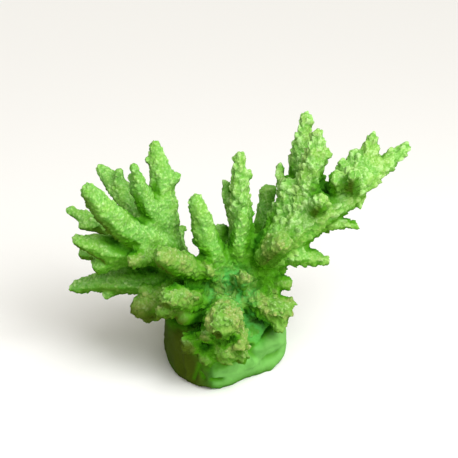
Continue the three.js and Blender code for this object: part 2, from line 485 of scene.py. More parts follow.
    def share_out(self, nodes: dict[str, bpy.types.Object]) -> None:
        """Gives each vertex and face to its nearest node, with no stray islands.

        Args:
            nodes: The frame's nodes by name.
        """
        corners, triangles, owners = [], [], []
        for number, name in enumerate(self.names):
            base = len(corners)
            points, faces = shell_of(nodes[name])
            corners.extend(points)
            triangles.extend([base + i for i in face] for face in faces)
            owners.extend([number] * len(faces))
        tree = BVHTree.FromPolygons(corners, triangles)
        owner = [owners[tree.find_nearest(Vector(p))[2]] for p in self.places * MM]
        self.vertex_nodes = np.array(owner)
        self.face_nodes = self.vertex_nodes[self.faces[:, 0]]
        sides = np.stack([self.faces, np.roll(self.faces, -1, 1)], 2)
        sides = np.sort(sides.reshape(-1, 2), 1)
        keys = sides[:, 0] * len(self.places) + sides[:, 1]
        order = np.argsort(keys, kind="stable")
        paired = keys[order[:-1]] == keys[order[1:]]
        neighbours = np.stack([order[:-1][paired], order[1:][paired]], 1)
        neighbours = neighbours // self.faces.shape[1]
        for _ in range(self.island_passes):
            if not self.absorb_islands(neighbours):
                break

    def absorb_islands(self, neighbours: np.ndarray) -> int:
        """Hands each node's smaller islands of faces to the node next to them.

        Args:
            neighbours: Two faces that share an edge to a row.

        Returns:
            How many faces changed hands.
        """
        nodes = self.face_nodes
        same = nodes[neighbours[:, 0]] == nodes[neighbours[:, 1]]
        groups = joined_groups(len(nodes), neighbours[same])
        numbers, sizes = np.unique(groups, return_counts=True)
        size_of = dict(zip(numbers.tolist(), sizes.tolist()))
        keep = {}
        for number in numbers.tolist():
            node = int(nodes[number])
            if size_of[number] > size_of.get(keep.get(node), 0):
                keep[node] = number
        stray = ~np.isin(groups, list(keep.values()))
        border = neighbours[~same]
        border = np.concatenate([border, border[:, ::-1]])
        border = border[stray[border[:, 0]]]
        heir = {}
        for inner, outer in border.tolist():
            heir.setdefault(int(groups[inner]), int(nodes[outer]))
        for group, node in heir.items():
            self.face_nodes[groups == group] = node
        return int(stray.sum())

    def tips(self, nodes: dict[str, bpy.types.Object], heart: Vector) -> np.ndarray:
        """Finds each node's growing end: its point farthest from its fork.

        Args:
            nodes: The frame's nodes by name.
            heart: The middle of the coral, in metres, which the stems grow away from.

        Returns:
            One place to a node, in mm.
        """
        shells = {name: shell_of(nodes[name]) for name in self.names}
        trees = {name: BVHTree.FromPolygons(*shell) for name, shell in shells.items()}
        ends = []
        for name, (corners, _) in shells.items():
            others = [tree for other, tree in trees.items() if other != name]
            touching = [
                corner
                for corner in corners
                if any(
                    tree.find_nearest(corner, self.touch * MM)[0] is not None
                    for tree in others
                )
            ]
            root = heart
            if touching and name not in STEMS:
                root = sum(touching, Vector()) / len(touching)
            far = max(corners, key=lambda corner: (corner - root).length)
            ends.append([x / MM for x in far])
        return np.array(ends)


@dataclass(frozen=True)
class Mark:
    """A dent, crease or swelling on the rock.

    Attributes:
        start: One end of its middle line, in mm.
        end: The other end.
        radius: Half its width in mm.
        depth: How far it goes in, or out where negative.
    """

    start: tuple[float, float, float]
    end: tuple[float, float, float]
    radius: float
    depth: float

    def depth_at(self, places: np.ndarray, skin: np.ndarray) -> np.ndarray:
        """Reads how deep the mark is at each place.

        Args:
            places: One place to a row, in mm.
            skin: Places on the rock's skin, in mm, which the mark is moved onto.

        Returns:
            Depths in mm.
        """
        start, end = [
            skin[np.linalg.norm(skin - point, axis=1).argmin()]
            for point in (self.start, self.end)
        ]
        along = end - start
        share = (places - start) @ along / max(along @ along, 1e-9)
        nearest = start + np.clip(share, 0, 1)[:, None] * along
        away = np.linalg.norm(places - nearest, axis=1) / self.radius
        return self.depth * np.exp(-2 * away * away)


@dataclass
class RockSurface:
    """The weathered skin of the rock plug.

    Attributes:
        marks: The dents, creases and lumps that it has.
        broad: Its broadest waves.
        lumpy: The lumps on them.
        gritty: Its fine grit.
        folded: Its winding folds.
        ragged: The ragged edge of the patch of coral.
        swell_height: Height of the waves and lumps in mm.
        fold_height: Height of the folds in mm.
        fold_sharpness: How narrow the folds are.
        grit_height: Height of the grit in mm.
        crust_middle: Middle of the patch that the coral has grown down over, in mm.
        crust_radius: Radius of that patch in mm.
        crust_ragged: How far its edge wanders in mm.
    """

    marks: tuple[Mark, ...] = (
        Mark((-11.3, -30.5, 10), (-10.5, -30.5, 8), 2.2, 2.2),
        Mark((-6.5, -32, 8), (-1, -30, 6), 1.9, 2.4),
        Mark((-13, -30, 14), (-17, -27, 4), 2.6, 1.6),
        Mark((-6, -31, 14), (3, -28, 16), 4.0, -1.4),
        Mark((12, -21, 18), (15, -19, 13), 3.6, 1.8),
        Mark((14, -20, 21), (24, -12, 26), 2.2, 4.0),
        Mark((23, -13, 20), (27, -9, 17), 6.5, -3.4),
        Mark((18, -17, 17), (19, -16, 13), 4.5, -2.0),
        Mark((20, -15, 10), (28, -8, 9), 4.0, 1.6),
        Mark((4, -27, 9), (13, -21, 10), 4.5, -1.4),
        Mark((-18.5, -24, 20), (-18.5, -24, 5), 2.5, -1.6),
    )
    broad: Grain = Grain(11, 11.0)
    lumpy: Grain = Grain(12, 4.0)
    gritty: Grain = Grain(13, 1.4)
    folded: Grain = Grain(15, 7.0)
    ragged: Grain = Grain(14, 4.0)
    swell_height: float = 1.3
    fold_height: float = 0.5
    fold_sharpness: float = 2.5
    grit_height: float = 0.12
    crust_middle: tuple[float, float, float] = (12.0, -18.5, 28.0)
    crust_radius: float = 8.5
    crust_ragged: float = 2.0

    def crusted(self, places: np.ndarray) -> np.ndarray:
        """Tells which places on the rock the coral has grown down over.

        Args:
            places: One place to a row, in mm.

        Returns:
            True where there is coral.
        """
        away = np.linalg.norm(places - self.crust_middle, axis=1)
        return away + self.crust_ragged * self.ragged.at(places) < self.crust_radius

    def lift(self, body: Body) -> np.ndarray:
        """Works out how far the rock's surface moves along its normals.

        Args:
            body: The smooth body.

        Returns:
            Distances in mm.
        """
        waves = 0.7 * self.broad.at(body.places) + 0.3 * self.lumpy.at(body.places)
        folds = 1 - self.fold_sharpness * np.abs(self.folded.at(body.places))
        lift = self.swell_height * waves + self.fold_height * np.clip(folds, -1, 1)
        lift += self.grit_height * self.gritty.at(body.places)
        return lift - self.depth(body)

    def depth(self, body: Body) -> np.ndarray:
        """Adds up how deep the marks are.

        Args:
            body: The smooth body.

        Returns:
            Depths in mm, below 0 on the lumps.
        """
        rock = body.places[body.vertex_nodes == body.names.index(ROCK)]
        return sum(mark.depth_at(body.places, rock) for mark in self.marks)


@dataclass
class CupField:
    """The cups (corallites) that cover the coral, leaning towards the growing tips.

    Its readings are what the colours follow: relief is how high a place stands, spread
    is 1 on coral and 0 on bare rock, up and side are how far it faces up and right, by
    which the colours paint light on top and on the right and shade below and on the
    left, low_left_shade is painted shade low at the front left, dye is the bluish
    heart, crease is painted shade in the rock's cracks and a darker patch where coral
    grows on the rock, frost_and_top_light is where a pale dusting settles and painted
    top light falls, and tan how brown the cups' ends are.

    Attributes:
        seed: Picks where the cups stand.
        lean: How far a cup's rim leans to the tip, as a share of its height.
        shrink: How far the flesh sinks under the cups, as a share of their height.
        mouth_depth: How deep a cup's mouth is, as a share of its height.
        mouth_width: Width of the mouth, as a share of the cup's.
        grain_spacing: Distance between the small grains that roughen the cups, in mm.
        grain_radius: Radius of a grain in mm.
        grain_height: Height of the tallest grains in mm.
        ridge_height: Height of the ridges on the roughest crust, in mm.
        ridge_sharpness: How narrow the ridges are.
        ridge_wiggle: How strongly they turn.
        cup_heights: The lowest and tallest cups, as a share of the crust's height.
        cup_rarity: How rare the tall cups are: 1 for all heights alike.
        cup_radii: The narrowest and widest cups, as a share of the crust's radius.
        crowd: How much closer or wider the cups stand from place to place.
        unevenness: How far the cups are from round.
        waves: The broad waves of the flesh.
        lumps: The lumps on them.
        crowding: Where the cups stand closer or wider.
        warp: What makes the cups uneven.
        bend: The course of the ridges that join the cups.
        wiggle: The small turns in it.
        least_spread: No cup grows where there is less coral than this.
        rock_fade: Steps over which the coral thins out onto the rock.
        fork_fade: Steps over which one crust turns into the next.
        full_relief: Height in mm at which a cup has its palest rim.
        settle: Anything lower than this, in mm, rests on the ground.
        heart: Middle of the hollow between the fingers, in mm.
        heart_reach: Distances from the heart between which its dye runs out, in mm.
        patch_reach: The same, from the middle of the coral on the rock.
        patch_dye: How strong the dye is there.
        low_left_shade_z: Heights between which the painted shade low at the front left
            grows strong, in mm.
        low_left_shade_x: The same, from the middle to the left.
        low_left_shade_y: The same, from the middle to the front.
        frost_and_top_light_z: Heights between which the pale dusting and the painted
            top light grow strong, in mm.
        crack_depth: Depth in mm at which a crack's painted shade is darkest.
    """

    seed: int = 5
    lean: float = 0.6
    shrink: float = 0.45
    mouth_depth: float = 0.22
    mouth_width: float = 0.28
    grain_spacing: float = 1.0
    grain_radius: float = 0.8
    grain_height: float = 0.42
    ridge_height: float = 0.45
    ridge_sharpness: float = 2.2
    ridge_wiggle: float = 0.45
    cup_heights: tuple[float, float] = (0.2, 1.0)
    cup_rarity: float = 1.5
    cup_radii: tuple[float, float] = (0.75, 1.1)
    crowd: float = 0.15
    unevenness: float = 0.35
    waves: Grain = Grain(21, 8.0)
    lumps: Grain = Grain(22, 4.0)
    crowding: Grain = Grain(24, 6.0)
    warp: Grain = Grain(25, 1.5)
    bend: Grain = Grain(31, 3.4)
    wiggle: Grain = Grain(32, 1.53)
    least_spread: float = 0.35
    rock_fade: int = 14
    fork_fade: int = 6
    full_relief: float = 1.6
    settle: float = 0.35
    heart: tuple[float, float, float] = (4.0, -18.0, 50.0)
    heart_reach: tuple[float, float] = (17.0, 7.0)
    patch_reach: tuple[float, float] = (13.0, 6.0)
    patch_dye: float = 0.5
    low_left_shade_z: tuple[float, float] = (60.0, 32.0)
    low_left_shade_x: tuple[float, float] = (-2.0, -22.0)
    low_left_shade_y: tuple[float, float] = (-10.0, -22.0)
    frost_and_top_light_z: tuple[float, float] = (60.0, 112.0)
    crack_depth: float = 4.0
    crusts: list[Crust] = field(init=False)
    tree: KDTree = field(init=False)
    rise: np.ndarray = field(init=False)
    relief: np.ndarray = field(init=False)
    pocket: np.ndarray = field(init=False)
    tan: np.ndarray = field(init=False)
    spread: np.ndarray = field(init=False)
    up: np.ndarray = field(init=False)
    side: np.ndarray = field(init=False)
    low_left_shade: np.ndarray = field(init=False)
    dye: np.ndarray = field(init=False)
    crease: np.ndarray = field(init=False)
    frost_and_top_light: np.ndarray = field(init=False)

    def grow(self, body: Body, rock: RockSurface, tips: np.ndarray) -> None:
        """Grows the cups over the body and takes the readings for its colours.

        Args:
            body: The smooth body.
            rock: The rock's skin, which has few cups.
            tips: The growing end of each node, in mm.
        """
        self.crusts = [CRUSTS.get(name, Crust.FINE) for name in body.names]
        self.spread_over(body, rock)
        self.raise_skin(body, rock, tips)
        self.take_readings(body, rock)

    def spread_over(self, body: Body, rock: RockSurface) -> None:
        """Finds where there is coral, and prepares the search for neighbours.

        Args:
            body: The smooth body.
            rock: The rock's skin.
        """
        coral = np.array([crust is not Crust.ROCK for crust in self.crusts])
        covered = coral[body.vertex_nodes] | rock.crusted(body.places)
        self.spread = body.blurred(covered.astype(float), self.rock_fade)
        self.tree = KDTree(len(body.places))
        for i, place in enumerate(body.places):
            self.tree.insert(place, i)
        self.tree.balance()

    def blended(self, body: Body, name: str) -> np.ndarray:
        """Reads one of the crusts' numbers at each vertex, evened out at the forks.

        Args:
            body: The smooth body.
            name: The number's name.

        Returns:
            The evened numbers.
        """
        values = np.array([getattr(crust.value, name) for crust in self.crusts])
        return body.blurred(values[body.vertex_nodes], self.fork_fade)

    def raise_skin(self, body: Body, rock: RockSurface, tips: np.ndarray) -> None:
        """Works out how each vertex moves, and how high it then stands.

        Args:
            body: The smooth body.
            rock: The rock's skin.
            tips: The growing end of each node, in mm.
        """
        towards = tips[body.vertex_nodes] - body.places
        across = (towards * body.normals).sum(1)[:, None] * body.normals
        draw = np.random.default_rng(self.seed)
        cups, aim = self.raise_cups(body, unit(towards - across), draw)
        tallest = self.blended(body, "height")
        rough = tallest / Crust.LOBE.value.height
        grains = self.raise_grains(body, draw) * (0.6 + 0.6 * rough)
        ridges = self.ridges(body.places) * self.spread * rough
        cups = cups + self.ridge_height * ridges
        self.relief = np.clip(cups / self.full_relief + grains, 0, 1.2)
        waves = 0.5 * self.waves.at(body.places)
        waves += self.lumps.at(body.places) * self.blended(body, "lumps")
        flesh = waves - self.shrink * tallest
        lift = self.spread * flesh + (1 - self.spread) * rock.lift(body)
        self.rise = body.normals * lift[:, None] + aim * (cups + grains)[:, None]
        settled = body.places[:, 2] + self.rise[:, 2] < self.settle
        self.rise[settled, 2] = -body.places[settled, 2]

    def take_readings(self, body: Body, rock: RockSurface) -> None:
        """Takes the readings that don't follow the cups.

        Args:
            body: The smooth body.
            rock: The rock's skin.
        """
        x, y, z = body.places.T
        self.tan = self.blended(body, "tan")
        # up and side: how far each place faces up and right; the colours paint light on
        # upper and right faces and shade on lower and left ones by them
        self.up = 0.5 + 0.5 * body.blurred(body.normals[:, 2], 3)
        self.side = 0.5 + 0.5 * body.blurred(body.normals[:, 0], 3)
        # Painted shade low at the front left, where the club and fingers overhang
        self.low_left_shade = smooth_step(*self.low_left_shade_z, z) * smooth_step(*self.low_left_shade_x, x)
        self.low_left_shade *= smooth_step(*self.low_left_shade_y, y)
        deep = np.linalg.norm(body.places - self.heart, axis=1)
        patch = np.linalg.norm(body.places - rock.crust_middle, axis=1)
        patch = smooth_step(*self.patch_reach, patch)
        self.dye = smooth_step(*self.heart_reach, deep)
        self.dye = np.maximum(self.dye, self.patch_dye * patch)
        # Painted shade in the rock's cracks, and a darker patch where coral grows on
        # the rock
        cracked = np.clip(rock.depth(body) / self.crack_depth, 0, 1)
        self.crease = 0.7 * (1 - self.spread) * cracked + 0.35 * patch
        # Pale on upward faces and higher up: partly a frosty dusting, partly painted
        # top light
        high = smooth_step(*self.frost_and_top_light_z, z)
        self.frost_and_top_light = self.up + 0.3 * high + 0.08 * (1 - self.tan)

    def ridges(self, places: np.ndarray) -> np.ndarray:
        """Reads the winding ridges that join the cups.

        Args:
            places: One place to a row, in mm.

        Returns:
            1 on the ridges, and less the further away from them.
        """
        course = self.bend.at(places) + self.ridge_wiggle * self.wiggle.at(places)
        return 1 - self.ridge_sharpness * np.abs(course)

    def raise_cups(
        self, body: Body, along: np.ndarray, draw: np.random.Generator
    ) -> tuple[np.ndarray, np.ndarray]:
        """Raises the cups, each a blunt cone with its mouth sunk in the end.

        Args:
            body: The smooth body.
            along: The way to the growing tip at each vertex.
            draw: Source of the random draws.

        Returns:
            The height in mm and the direction of growth at each vertex.
        """
        owner = body.vertex_nodes
        crowding = 1 + self.crowd * self.crowding.at(body.places)
        warp = 1 + self.unevenness * self.warp.at(body.places)
        spacing = np.array([crust.value.spacing for crust in self.crusts])
        height = np.zeros(len(owner))
        aim = np.array(body.normals)
        seeds = self.scatter(body, spacing[owner] * crowding, draw)
        for i in seeds:
            crust = self.crusts[owner[i]]
            if crust is Crust.ROCK:
                crust = Crust.FINE
            cup = crust.value
            part = draw.uniform(*self.cup_heights) ** self.cup_rarity
            tall = cup.height * part * self.spread[i]
            radius = cup.radius * draw.uniform(*self.cup_radii)
            who, share = self.around(body, i, radius)
            share = share * warp[who]
            cone = np.clip(1 - share**2, 0, 1) ** cup.sharpness
            mouth = np.exp(-((share / self.mouth_width) ** 2))
            lift = tall * (cone - self.mouth_depth * mouth)
            better = lift > height[who]
            who = who[better]
            height[who] = lift[better]
            aim[who] = body.normals[i] + self.lean * along[i]
        LOG.info("cups: %d", len(seeds))
        return height, aim

    def raise_grains(self, body: Body, draw: np.random.Generator) -> np.ndarray:
        """Raises the small grains that make the coral gritty.

        Args:
            body: The smooth body.
            draw: Source of the random draws.

        Returns:
            The height in mm at each vertex.
        """
        height = np.zeros(len(body.places))
        spacing = np.full(len(body.places), self.grain_spacing)
        seeds = self.scatter(body, spacing, draw)
        sizes = draw.uniform(0.1, 1.0, len(seeds)) * self.grain_height
        for i, tall in zip(seeds, sizes):
            who, share = self.around(body, i, self.grain_radius)
            lift = tall * self.spread[i] * np.clip(1 - share**2, 0, 1)
            height[who] = np.maximum(height[who], lift)
        LOG.info("grains: %d", len(seeds))
        return height

    def scatter(
        self, body: Body, spacing: np.ndarray, draw: np.random.Generator
    ) -> list[int]:
        """Picks vertices on the coral at random that keep their distance.

        Args:
            body: The smooth body.
            spacing: The distance kept at each vertex, in mm.
            draw: Source of the random draws.

        Returns:
            The picked vertices.
        """
        free = self.spread > self.least_spread
        seeds = []
        for i in draw.permutation(len(free)).tolist():
            if free[i]:
                near = self.tree.find_range(body.places[i], spacing[i])
                free[[j for _, j, _ in near]] = False
                seeds.append(i)
        return seeds

    def around(
        self, body: Body, seed: int, radius: float
    ) -> tuple[np.ndarray, np.ndarray]:
        """Finds the vertices around a picked one, on the same side of the finger.

        Args:
            body: The smooth body.
            seed: The picked vertex.
            radius: How far to look, in mm.

        Returns:
            The vertices, and how far out each is as a share of the radius.
        """
        near = self.tree.find_range(body.places[seed], radius)
        who = np.array([j for _, j, _ in near])
        who = who[body.normals[who] @ body.normals[seed] > 0.1]
        away = body.places[who] - body.places[seed]
        away -= (away @ body.normals[seed])[:, None] * body.normals[seed]
        return who, np.linalg.norm(away, axis=1) / radius


@dataclass
class PocketProbe:
    """Looks out from the skin to measure how hidden it is between the fingers, where
    the colours paint shade.

    Attributes:
        seed: Picks the rays.
        rays: Rays sent from each place.
        reach: How far a ray looks, in mm.
        stride: One in this many of the rough surface's vertices is probed.
        clearance: How far above the surface a ray starts, in mm.
        upright: How strongly the rays keep to the surface's normal.
        fade: Steps over which the result is evened out.
    """

    seed: int = 6
    rays: int = 14
    reach: float = 24.0
    stride: int = 3
    clearance: float = 0.6
    upright: float = 1.05
    fade: int = 8

    def measure(self, body: Body) -> np.ndarray:
        """Measures how hidden each vertex is.

        Args:
            body: The smooth body.

        Returns:
            Numbers from 0 in the open to 1 deep in a hollow.
        """
        rough = body.rough_mesh
        shape = bmesh.new()
        shape.from_mesh(rough)
        tree = BVHTree.FromBMesh(shape)
        shape.free()
        places = read_column(rough.vertices, "co", 3)
        normals = read_column(rough.vertex_normals, "vector", 3)
        draw = np.random.default_rng(self.seed)
        aims = unit(draw.normal(size=(self.rays, 3)))
        chosen = range(0, len(places), self.stride)
        hidden = np.zeros(len(chosen))
        lookup = KDTree(len(chosen))
        for row, i in enumerate(chosen):
            normal = normals[i]
            start = Vector(places[i] + normal * self.clearance * MM)
            lookup.insert(places[i], row)
            for aim in aims:
                ray = Vector(aim + normal * self.upright)
                hit = tree.ray_cast(start, ray, self.reach * MM)[3]
                if hit is not None:
                    hidden[row] += 1 - hit / (self.reach * MM)
        lookup.balance()
        nearest = [lookup.find(place)[1] for place in body.places * MM]
        return body.blurred((hidden / self.rays)[nearest], self.fade)


@dataclass(frozen=True)
class Ramp:
    """A smooth change of strength along one of the skin's readings or patterns.

    Attributes:
        source: The reading or pattern that it follows.
        start: Where the change starts.
        end: Where it ends. It may be below the start.
        before: The strength before the change.
        after: The strength after it.
    """

    source: str
    start: float
    end: float
    before: float
    after: float


@dataclass(frozen=True)
class Coat:
    """A thin coat of colour over the coats before it.

    Attributes:
        colour: Its sRGB hex colour.
        ramps: Its strength: their strengths are multiplied.
        follows: A reading that the strength is multiplied by as it is, if any.
    """

    colour: str
    ramps: tuple[Ramp, ...]
    follows: str | None = None


@dataclass(frozen=True)
class DyedCoral:
    """Cast and dyed finger coral: chalky green resin, pale on its upper faces from a
    frosty dusting and painted top light.

    The rims of the cups are pale, the flesh a clear green and the hollows between the
    cups a deeper green, and the upper faces carry a frosty dusting that is partly
    painted top light. Painted shade darkens the undersides to a deep olive green, more
    so down to the left and low at the front left, and the hidden places between the
    fingers and the rock's cracks; the heart between the fingers is bluish. The ends of
    the cups that face out are rubbed to a brownish tan. The bare rock is painted darker
    with shade on its left and paler with light on its right. The surface is matt and
    gritty, not glossy.

    Attributes:
        hollow: The base colour, left in the hollows between the cups.
        flesh: The sides of the cups.
        rim: Their raised rims.
        lobe: The blunt lobes that face the front.
        tan: The rubbed ends of the cups.
        dust_and_top_light: The frosty dusting on the upper faces, partly painted top
            light.
        rock: The bare rock.
        lit_rock: Painted light on its right side.
        dark_rock: Painted shade on its left side.
        under: Painted shade on faces that look down.
        olive: Painted shade on faces that look down to the left, and low at the front
            left.
        shade: Hidden places between the fingers.
        deep_shade: Deeper painted shade in the most hidden of them.
        teal: The bluish dye in the heart.
        roughness: How matt the surface is.
        gloss: Its specular level.
        bump: Strength of the grit's bumps.
        bump_mm: Their height in mm.
        mottle_mm: Size of the blotches in mm.
        cloud_mm: Size of the clouds of bluish dye in mm.
        grit_mm: Size of the grit in mm, drawn coarser than it is so that it shows.
    """

    hollow: str = "#459406"
    flesh: str = "#7cb63e"
    rim: str = "#a9d686"
    lobe: str = "#609032"
    tan: str = "#9c9c5e"
    dust_and_top_light: str = "#b8da9a"
    rock: str = "#386a20"
    lit_rock: str = "#74b458"
    dark_rock: str = "#39450f"
    under: str = "#3c740a"
    olive: str = "#3e4e0c"
    shade: str = "#468a0a"
    deep_shade: str = "#1e5c08"
    teal: str = "#58c060"
    roughness: float = 0.8
    gloss: float = 0.03
    bump: float = 0.5
    bump_mm: float = 0.25
    mottle_mm: float = 9.0
    cloud_mm: float = 5.0
    grit_mm: float = 1.1

    def coats(self) -> tuple[Coat, ...]:
        """Lists the coats over the base colour.

        Returns:
            The coats from the first to the last.
        """
        bare = Ramp("spread", 0.15, 0.75, 1.0, 0.0)
        open_heart = Ramp("dye", 0.0, 1.0, 1.0, 0.4)
        # Pale dusting that follows the upward faces: partly painted top light
        dusted_and_lit = (
            Ramp("tan", 0.2, 0.8, 1.0, 0.7),
            Ramp("relief", 0.1, 0.6, 0.5, 1.0),
            Ramp("frost_and_top_light", 0.45, 0.85, 0.1, 1.0),
            Ramp("grit", 0.5, 0.72, 0.0, 0.55),
        )
        rubbed = (
            Ramp("relief", 0.05, 0.8, 0.35, 0.8),
            Ramp("mottle", 0.42, 0.58, 0.1, 1.0),
        )
        # Rims paler where raised, and paler still on upward faces: partly painted top
        # light
        raised = (
            Ramp("relief", 0.2, 0.9, 0.3, 1.0),
            Ramp("frost_and_top_light", 0.35, 0.8, 0.2, 1.0),
        )
        # Painted light on the bare rock's right side, mottled
        lit_right = (
            bare,
            Ramp("side", 0.4, 0.85, 0.0, 1.0),
            Ramp("mottle", 0.3, 0.6, 0.5, 1.0),
        )
        # Painted shade on faces that look down to the left, away from the light
        down_left = (
            Ramp("up", 0.5, 0.15, 0.0, 0.75),
            Ramp("side", 0.55, 0.3, 0.0, 1.0),
        )
        # Painted shade low at the front left
        low_left = (
            Ramp("low_left_shade", 0.0, 1.0, 0.0, 0.95),
            Ramp("up", 0.95, 0.6, 0.4, 1.0),
        )
        clouded = (
            Ramp("cloud", 0.4, 0.6, 0.1, 0.6),
            Ramp("relief", 0.8, 0.1, 0.15, 1.0),
        )
        return (
            Coat(self.flesh, (Ramp("relief", 0.08, 0.55, 0.0, 1.0),)),
            Coat(self.rim, raised),
            Coat(self.flesh, (Ramp("mottle", 0.45, 0.65, 0.0, 0.4),)),
            Coat(self.lobe, (Ramp("tan", 0.1, 0.7, 0.0, 0.8),)),
            Coat(self.tan, rubbed, follows="tan"),
            Coat(self.dust_and_top_light, dusted_and_lit),
            Coat(self.hollow, (Ramp("grit", 0.48, 0.3, 0.0, 0.4),)),
            Coat(self.rock, (bare,)),
            # Painted light on the rock's right side
            Coat(self.lit_rock, lit_right),
            # Painted shade on the rock's left side
            Coat(self.dark_rock, (bare, Ramp("side", 0.36, 0.14, 0.0, 0.9))),
            # Painted shade on faces that look down
            Coat(self.under, (Ramp("up", 0.5, 0.12, 0.0, 0.92),)),
            # Painted shade down to the left
            Coat(self.olive, down_left),
            # Painted shade low at the front left
            Coat(self.olive, low_left),
            # Painted shade in hidden places, lighter in the bluish heart
            Coat(self.shade, (Ramp("pocket", 0.05, 0.38, 0.0, 0.9), open_heart)),
            Coat(self.deep_shade, (Ramp("pocket", 0.3, 0.7, 0.0, 0.85), open_heart)),
            Coat(self.teal, clouded, follows="dye"),
        )

    def sources(self, tree: bpy.types.NodeTree) -> dict[str, bpy.types.NodeSocket]:
        """Adds the nodes that the coats follow.

        Args:
            tree: The material's node tree.

        Returns:
            The output of each reading and pattern by its name.
        """
        found = {}
        for name in READINGS:
            settings = {"attribute_name": name}
            node = add_node(tree, "ShaderNodeAttribute", settings)
            found[name] = node.outputs["Fac"]
        place = add_node(tree, "ShaderNodeTexCoord").outputs["Object"]
        patterns = {
            "mottle": (self.mottle_mm, 2.0),
            "grit": (self.grit_mm, 1.5),
            "cloud": (self.cloud_mm, 1.0),
        }
        for name, (size, detail) in patterns.items():
            inputs = {"Vector": place, "Scale": 1 / (size * MM), "Detail": detail}
            node = add_node(tree, "ShaderNodeTexNoise", None, inputs)
            found[name] = node.outputs["Fac"]
        return found

    def strength(
        self,
        tree: bpy.types.NodeTree,
        coat: Coat,
        sources: dict[str, bpy.types.NodeSocket],
    ) -> bpy.types.NodeSocket:
        """Adds the nodes that work out how strong a coat is.

        Args:
            tree: The material's node tree.
            coat: The coat.
            sources: The readings and patterns by name.

        Returns:
            The coat's strength.
        """
        total = sources[coat.follows] if coat.follows else None
        for ramp in coat.ramps:
            inputs = {
                "Value": sources[ramp.source],
                "From Min": ramp.start,
                "From Max": ramp.end,
                "To Min": ramp.before,
                "To Max": ramp.after,
            }
            settings = {"clamp": True, "interpolation_type": "SMOOTHSTEP"}
            step = add_node(tree, "ShaderNodeMapRange", settings, inputs).outputs[0]
            if total is None:
                total = step
            else:
                times = {"operation": "MULTIPLY"}
                node = add_node(tree, "ShaderNodeMath", times, {0: total, 1: step})
                total = node.outputs[0]
        return total

    def make(self, name: str = "dyed_coral_resin") -> bpy.types.Material:
        """Builds the material.

        Args:
            name: The material's name.

        Returns:
            The material.
        """
        material = bpy.data.materials.new(name)
        material.use_nodes = True
        tree = material.node_tree
        tree.nodes.clear()
        sources = self.sources(tree)
        colour = linear(self.hollow)
        for coat in self.coats():
            # Inputs 6 and 7 and output 2 are the colours of a Mix node.
            share = self.strength(tree, coat, sources)
            inputs = {0: share, 6: colour, 7: linear(coat.colour)}
            mix = add_node(tree, "ShaderNodeMix", {"data_type": "RGBA"}, inputs)
            colour = mix.outputs[2]
        inputs = {
            "Strength": self.bump,
            "Distance": self.bump_mm * MM,
            "Height": sources["grit"],
        }
        bump = add_node(tree, "ShaderNodeBump", None, inputs)
        inputs = {
            "Base Color": colour,
            "Roughness": self.roughness,
            "Specular IOR Level": self.gloss,
            "Normal": bump.outputs[0],
        }
        shader = add_node(tree, "ShaderNodeBsdfPrincipled", None, inputs)
        inputs = {"Surface": shader.outputs[0]}
        add_node(tree, "ShaderNodeOutputMaterial", None, inputs)
        return material


